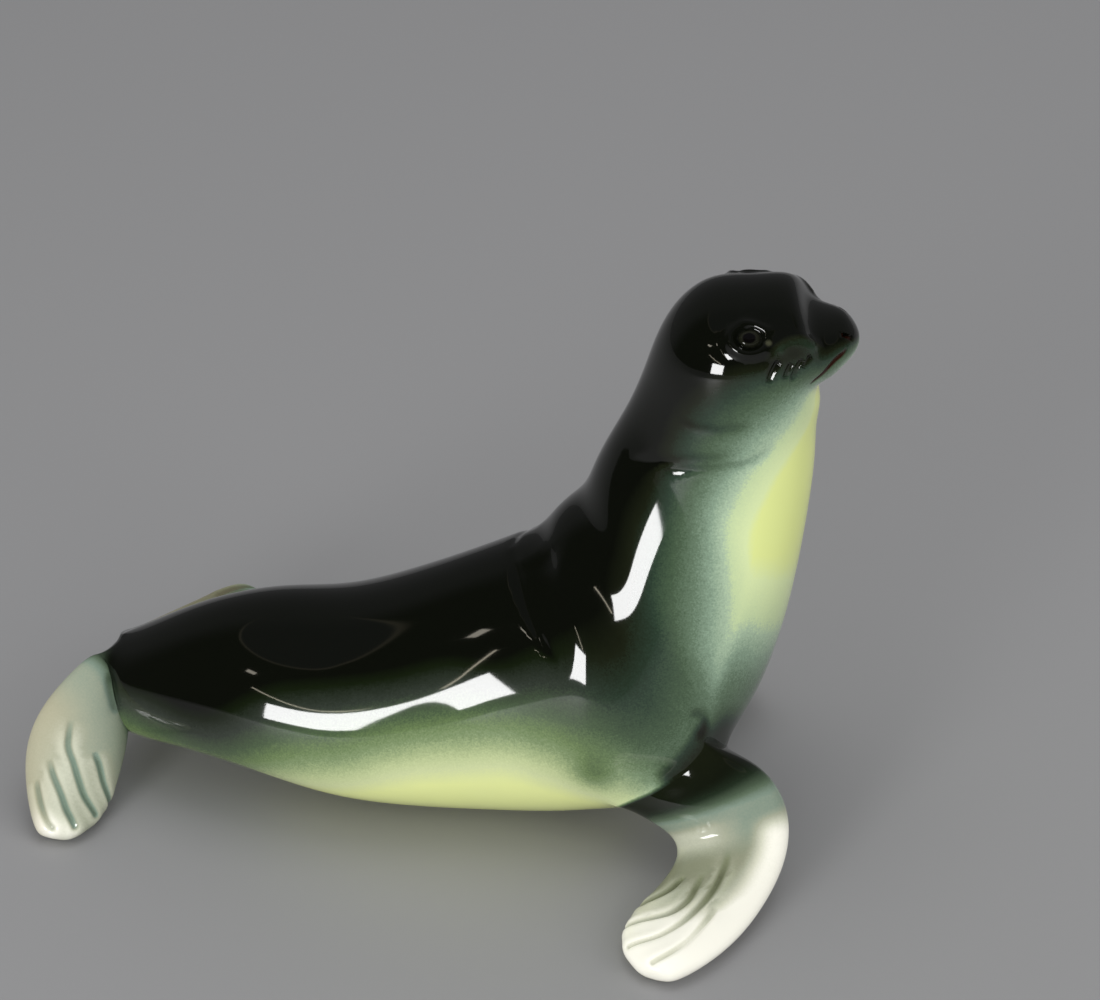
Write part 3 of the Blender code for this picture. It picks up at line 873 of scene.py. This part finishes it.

# %% [markdown]
# ## Where the sprays reach
# The decorator sprays white glaze all over, yellow-green on the chest and belly, and near-black green
# from the back down. The two sprays meet in a soft band. The tables say, station by station, the turn
# down to which the dark spray covers fully and the turn from which the pale one does. Shade is 1 in the
# dark and 0 in the pale. Soft dark patches of painted shade lie between the front flippers and in the
# armpits, the flippers' roots take the dark spray and a painted shadow where they leave the chest, and a
# smudge lies on the flank.

# %% Shade of the body
DARK_DOWN_TO = (
    (0, 60), (1.5, 70), (2.2, 84), (2.7, 72), (3.1, 58), (3.6, 50), (5.6, 48), (6.4, 55), (7.4, 50), (8.5, 50),
    (9.6, 55), (10.5, 55), (11.3, 45), (12.5, 40), (13.8, 46), (15, 45), (16.2, 56), (17.7, 72), (19.6, 66),
    (21.7, 50), (23, 45),
)
PALE_FROM = (
    (0, 150), (1.5, 180), (2.7, 180), (3.1, 155), (3.6, 136), (4.3, 122), (4.9, 112), (5.6, 110), (6.4, 107),
    (7.4, 122), (8.5, 146), (9.6, 184), (10.5, 200), (11.5, 205), (12, 156), (12.5, 143), (13.1, 130),
    (13.6, 120), (13.9, 112), (15, 125), (16.2, 150), (17.7, 158), (18.5, 178), (19.6, 180), (21.7, 162),
    (23, 150),
)
Patch = namedtuple("Patch", "starts ends below share")
# Painted shade: soft dark patches between the front flippers and in the armpits, where shade falls.
SHADE_BETWEEN_ARMS = Patch((9.0, 10.5), (13.9, 11.8), (98, 128), 0.54)
ARMPIT_SHADE = Patch((9.0, 10.0), (11.9, 11.2), (122, 138), 0.32)
# The dark spray and a painted shadow at the front flippers' roots, where they leave the chest.
ARM_ROOT_SPRAY_AND_SHADOW = Patch((8.8, 9.8), (11.9, 11.0), (106, 125), 0.86)
ROOT_SPRAY_AND_SHADOW = 0.92
FLIPPER_FROM = (0.0, 0.13)
SMUDGE_STATION = 7.95
SMUDGE_TURN = 107
SMUDGE_SIZE = (0.45, 9)
SMUDGE_SHARE = 0.2


def spray_edge(table, stations, softness=0.5):
    """The table's turn at each station, its corners rounded off."""
    step = 0.05
    grid = np.arange(-1, 25, step)
    window = np.hanning(int(2 * softness / step) + 3)
    window /= window.sum()
    edge = np.pad(np.interp(grid, *zip(*table)), len(window) // 2, "edge")
    return np.interp(stations, grid, np.convolve(edge, window, "valid")[:len(grid)])


def cover(patch):
    """How far a soft-edged dark patch covers each point: painted shade, and at the flippers' roots the dark
    spray with a painted shadow.
    """
    stations = soft(known["station"], *patch.ends) * soft(known["station"], *patch.starts)
    return patch.share * stations * soft(known["turn"], *patch.below)


dark_to = spray_edge(DARK_DOWN_TO, known["station"])
pale_from = spray_edge(PALE_FROM, known["station"])
shade = (pale_from - known["turn"]) / (pale_from - dark_to)
# Painted shade between the front flippers and in the armpits.
shade = np.maximum(shade, cover(SHADE_BETWEEN_ARMS) + cover(ARMPIT_SHADE))
along = (known["station"] - SMUDGE_STATION) / SMUDGE_SIZE[0]
around = (known["turn"] - SMUDGE_TURN) / SMUDGE_SIZE[1]
shade += SMUDGE_SHARE * np.exp(-along ** 2 - around ** 2)
# Dark spray and painted shadow at the front flippers' roots.
shade = np.maximum(shade, cover(ARM_ROOT_SPRAY_AND_SHADOW))
shade = np.maximum(shade, ROOT_SPRAY_AND_SHADOW * soft(known["front"], *FLIPPER_FROM))
store(cast, "shade", np.clip(shade, -0.3, 1.3))
print("share of the skin in the dark:", round(float((shade > 0.9).mean()), 2))

# %% [markdown]
# ## The glaze
# An airbrush lays droplets that are finer than the edge of its cloud. Shade therefore takes a fine
# speckle, strongest where the spray is half covered, and a slow drift as of a moving hand. A ramp turns
# shade into the mixed glaze: yellow-green, grey-green, deep green, near-black. A groove is coloured
# darker, as pooled glaze and painted shade, and a ridge paler, as glaze that breaks over it.

# %% Colours and fields
FINE_SPRAY = 2400.0
COARSE_SPRAY = 900.0
HAND_DRIFT = 55.0
FULL_GROOVE = 0.6


def paint(code):
    """A colour written as red, green and blue in hexadecimal, as the shader takes it."""
    parts = [int(code[i:i + 2], 16) / 255 for i in (0, 2, 4)]
    return (*(c / 12.92 if c < 0.04 else ((c + 0.055) / 1.055) ** 2.4 for c in parts), 1.0)


shading = Tree(glaze.node_tree)
over = shading.over
gloss = glaze.node_tree.nodes["Principled BSDF"]
where = shading.node("ShaderNodeTexCoord").outputs["Object"]


def attribute(name):
    return Value(shading, shading.node("ShaderNodeAttribute", {"attribute_name": name}).outputs["Fac"])


def noise(scale, detail=2.0):
    """Noise from -1 to 1, with blobs about 1 / scale metres wide."""
    node = shading.node("ShaderNodeTexNoise", Vector=where, Scale=scale, Detail=detail)
    return (Value(shading, node.outputs["Fac"]) - 0.5) * 2.0


def ramp(value, stops):
    """The colour at a value, from (place, colour code) stops."""
    stops = [(place, paint(code)) for place, code in stops]
    return shading.node("ShaderNodeValToRGB", {"stops": stops}, Fac=value).outputs["Color"]


station, across = attribute("station"), attribute("across")
front, hind = attribute("front"), attribute("hind")
in_groove = attribute("pressed") / (FULL_GROOVE * MM)
speckle = noise(FINE_SPRAY, 1.0) * 0.6 + noise(COARSE_SPRAY) * 0.25
drift = noise(HAND_DRIFT)
print("fields ready")

# %% Body colours
DRIFT_SHARE = 0.035
POOL_AND_SHADE_SHARE = 0.2
SPECKLE_SHARE = 0.13
CHEST_FROM = (7.5, 10.5)
# A groove is coloured darker, as pooled glaze and painted shade; a ridge paler.
shade_here = attribute("shade") + drift * DRIFT_SHARE + in_groove.clamped(-1.0, 1.0) * POOL_AND_SHADE_SHARE
half_covered = (shade_here * (1.0 - shade_here)).maths("MAXIMUM", 0.0) * 4.0
shade_here = shade_here + speckle * half_covered * SPECKLE_SHARE
CHEST = (
    (0, "ecf69f"), (0.06, "e3f2b6"), (0.22, "cbdeac"), (0.28, "b0c7a9"), (0.39, "88a089"), (0.5, "647a63"),
    (0.61, "495d46"), (0.75, "2c3d30"), (0.89, "191d10"), (1, "080a05"),
)
BELLY = (
    (0, "ecf4a6"), (0.15, "d3dda8"), (0.25, "bfcc98"), (0.33, "a3b383"), (0.42, "809469"), (0.5, "6b8153"),
    (0.62, "4b5d42"), (0.78, "313830"), (0.92, "121a0a"), (1, "080a05"),
)
body_colour = over(ramp(shade_here, BELLY), ramp(shade_here, CHEST), station.rises(*CHEST_FROM))
print("stops:", len(CHEST), "and", len(BELLY))

# %% [markdown]
# The flippers are sprayed from the root outwards with the same dark glaze, thinned to grey-green, and
# left nearly white along the front flipper's leading edge and on the toes. A ramp runs from the dark root
# to the white tip. On the blade of a front flipper a second, more beige ramp takes over, and the leading
# half of a hind flipper is a warm bone.

# %% Flipper colours
lead = (across + 1.0) * 0.5
place = front - 1.0
off_root = (place + 0.28 + (1.0 - lead) * 0.5).rises(0.0, 0.9)
leading_edge = lead.rises(0.62, 0.86) * place.rises(0.8, 1.6)
inner_elbow = lead.rises(0.7, 0.3) * place.rises(0.3, 0.9) * place.rises(2.4, 1.4)
front_pale = 0.04 + 0.6 * off_root + 0.36 * leading_edge + 0.14 * inner_elbow + 0.36 * place.rises(3.0, 4.7)
beige = place.rises(1.0, 2.4) * 0.85
place = hind - 1.0
middle = place.rises(0.9, 2.5) * lead.rises(0.25, 0.6)
to_left = Value(shading, shading.node("ShaderNodeSeparateXYZ", Vector=where).outputs["Y"])
# Painted shade: the far hind flipper is coloured darker than the near one.
far_flipper_shade = to_left.rises(0.010, 0.022)
hind_pale = 0.3 + 0.38 * place.rises(-0.4, 0.8) + 0.06 * middle + 0.2 * place.rises(4.0, 5.0)
hind_pale = hind_pale - 0.34 * far_flipper_shade
warm = place.rises(1.0, 2.0) * lead.rises(0.5, 0.95) * 0.45
# Pooled glaze and painted shade darken the toe grooves.
groove_pool_and_shade = in_groove.clamped(-1.0, 1.5) * 0.16
WARM_BONE = "b3a888"
FLIPPER = (
    (0, "0c0d05"), (0.2, "212c1f"), (0.4, "4a5947"), (0.5, "5f705c"), (0.62, "829485"), (0.72, "a7ab96"),
    (0.85, "d2d4c0"), (1, "fdfbee"),
)
of_front = front.rises(0.0, 0.2)
pale = front_pale * of_front + hind_pale * (1.0 - of_front) - groove_pool_and_shade + drift * 0.03 + speckle * 0.035
BLADE_BEIGE = (
    (0, "0c0d05"), (0.2, "212c1f"), (0.45, "5b5c45"), (0.58, "878a6c"), (0.66, "96977f"), (0.74, "b0b39e"),
    (0.86, "d8d8c4"), (1, "fdfbee"),
)
flipper_colour = over(ramp(pale, FLIPPER), ramp(pale, BLADE_BEIGE), beige)
flipper_colour = over(flipper_colour, paint(WARM_BONE), warm)
colour = over(body_colour, flipper_colour, (front + hind).rises(0.1, 0.75))
print("flipper stops:", len(FLIPPER))

# %% [markdown]
# Last come the fine brush, which puts red-brown in the nostrils and along the mouth and a very dark iris
# and a black pupil on the eyeball, a pale spot in the eye's front corner that is a painted glint, and the
# bare clay of the foot, the vent and the hollow.

# %% Brushwork and bare clay
RED_BROWN = "2b120a"
IRIS = "1c1d15"
PUPIL = "050404"
CORNER_GLINT = "3f4030"
BARE_CLAY = "d8cfbf"
GLOSS_ROUGHNESS = 0.05
CLAY_ROUGHNESS = 0.65
GLAZE_IOR = 1.5
eye, tear, bare_clay = attribute("eye"), attribute("tear"), attribute("bare")
colour = over(colour, paint(RED_BROWN), attribute("painted").rises(0.1, 0.45))
colour = over(colour, paint(IRIS), eye.rises(2.2, 1.7))
colour = over(colour, paint(PUPIL), eye.rises(1.3, 1.0))
# A painted glint: a pale spot in the eye's front corner.
colour = over(colour, paint(CORNER_GLINT), tear.rises(1.0, 0.2))
colour = over(colour, paint(BARE_CLAY), bare_clay)
shading.feed(gloss.inputs["Base Color"], colour)
roughness = GLOSS_ROUGHNESS + (CLAY_ROUGHNESS - GLOSS_ROUGHNESS) * bare_clay
shading.feed(gloss.inputs["Roughness"], roughness)
gloss.inputs["IOR"].default_value = GLAZE_IOR
ripple = shading.node("ShaderNodeBump", Strength=1.0, Distance=0.02 * MM, Height=noise(70.0, 1.0))
shading.feed(gloss.inputs["Normal"], ripple.outputs["Normal"])
cast.materials.clear()
cast.materials.append(glaze)
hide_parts("seal_body")
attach(body, "root")
print("glaze nodes:", len(glaze.node_tree.nodes))

# %% [markdown]
# ## Table, lights and camera
# The seal stands on a plain pale table. A window, low at the left behind the camera, gives the long white
# reflections that show how smooth the glaze is. A small lamp and a strip give the thin ones. The back and
# the head mirror a dim ceiling and backdrop, and the side mirrors a room that is darker still, with a
# warm edge between them. The world is that dark in reflections only, and it lights the seal evenly from
# all round. Two soft lamps that no reflection shows fill the rest.

# %% Stage
TABLE_GREY = (0.29, 0.29, 0.295)
TABLE_SIZE = 6.0
TABLE_BELOW = 0.2


def plain_material(name, rgb, roughness):
    plain = bpy.data.materials.new(name)
    plain.use_nodes = True
    shader = plain.node_tree.nodes["Principled BSDF"]
    shader.inputs["Base Color"].default_value = (*rgb, 1)
    shader.inputs["Roughness"].default_value = roughness
    return plain


bpy.ops.mesh.primitive_plane_add(size=TABLE_SIZE, location=(0, 0, -TABLE_BELOW * MM))
table = bpy.context.object
table.name = "table"
table.data.materials.append(plain_material("pale table", TABLE_GREY, 0.6))

world = bpy.data.worlds.new("studio")
bpy.context.scene.world = world
world.use_nodes = True
sky = Tree(world.node_tree)
rays = sky.node("ShaderNodeLightPath")
ROOM = (0.62, 0.62, 0.625, 1)
DARK_SIDE = (0.03, 0.03, 0.03, 1)
CEILING_EDGE = (0.36, 0.32, 0.24, 1)
CEILING = (0.075, 0.075, 0.085, 1)
BACKDROP = (0.1, 0.1, 0.105, 1)
PALE = (0.4, 0.4, 0.41, 1)
direction = sky.node("ShaderNodeTexCoord").outputs["Generated"]
towards = sky.node("ShaderNodeSeparateXYZ", Vector=direction).outputs
room_stops = [(0.0, DARK_SIDE), (0.785, DARK_SIDE), (0.793, CEILING_EDGE), (0.801, CEILING)]
room = sky.node("ShaderNodeValToRGB", {"stops": room_stops}, Fac=towards["Z"]).outputs["Color"]
behind_seal = Value(sky, towards["Y"]).rises(0.1, 0.5)
in_gloss = sky.over(room, BACKDROP, behind_seal)
mirrored = sky.over(ROOM, in_gloss, rays.outputs["Is Glossy Ray"])
seen = sky.over(mirrored, PALE, rays.outputs["Is Camera Ray"])
sky.feed(world.node_tree.nodes["Background"].inputs["Color"], seen)


AIM = Vector((0, 0, 0.06))


def soft_light(name, azimuth, elevation, distance, size, radiance, tint=(1, 1, 1), roll=0.0, mirrored=True):
    """A rectangular light that faces the seal, placed by its direction from the seal."""
    lamp = bpy.data.lights.new(name, "AREA")
    lamp.shape = "RECTANGLE"
    lamp.size, lamp.size_y = size
    lamp.energy = radiance * pi * size[0] * size[1]
    lamp.color = tint
    holder = bpy.data.objects.new(name, lamp)
    a, e = radians(azimuth), radians(elevation)
    towards = Vector((cos(a) * cos(e), sin(a) * cos(e), sin(e)))
    holder.location = AIM + towards * distance
    facing = towards.to_track_quat("Z", "Y") @ Euler((0, 0, radians(roll))).to_quaternion()
    holder.rotation_euler = facing.to_euler()
    holder.visible_glossy = mirrored
    bpy.context.scene.collection.objects.link(holder)
    return holder


WARM_STRIP = (1, 0.92, 0.72)
WARM_LAMP = (1, 0.93, 0.78)
soft_light("window", -118.5, 9.5, distance=0.9, size=(0.26, 0.22), radiance=22)
soft_light("window edge", -125, 22, distance=0.9, size=(0.34, 0.010), radiance=8, tint=WARM_STRIP, roll=-22)
soft_light("lamp", -143, 37, distance=1.0, size=(0.08, 0.04), radiance=5, tint=WARM_LAMP)
soft_light("overhead", 60, 80, distance=1.2, size=(0.8, 0.8), radiance=1.5, mirrored=False)
soft_light("fill", -25, 25, distance=1.2, size=(0.6, 0.6), radiance=2.7, mirrored=False)
print("lights:", sum(1 for o in bpy.data.objects if o.type == "LIGHT"))

# %% Camera
SENSOR = 36.0
FOCAL_PIXELS = 3339.25
PHOTO_PIXELS = 1100
CAMERA_AT = Vector((53.8, -622.2, 482.8))
LOOKS_DOWN = 33
LOOKS_LEFT = 3
camera = bpy.data.cameras.new("camera")
camera.sensor_width = SENSOR
camera.lens = SENSOR * FOCAL_PIXELS / PHOTO_PIXELS
holder = bpy.data.objects.new("camera", camera)
holder.location = CAMERA_AT * MM
holder.rotation_euler = Euler((radians(90 - LOOKS_DOWN), 0, radians(LOOKS_LEFT)))
bpy.context.scene.collection.objects.link(holder)
bpy.context.scene.camera = holder
bpy.context.scene.view_settings.view_transform = "Standard"
print("camera at", [round(c, 3) for c in holder.location])
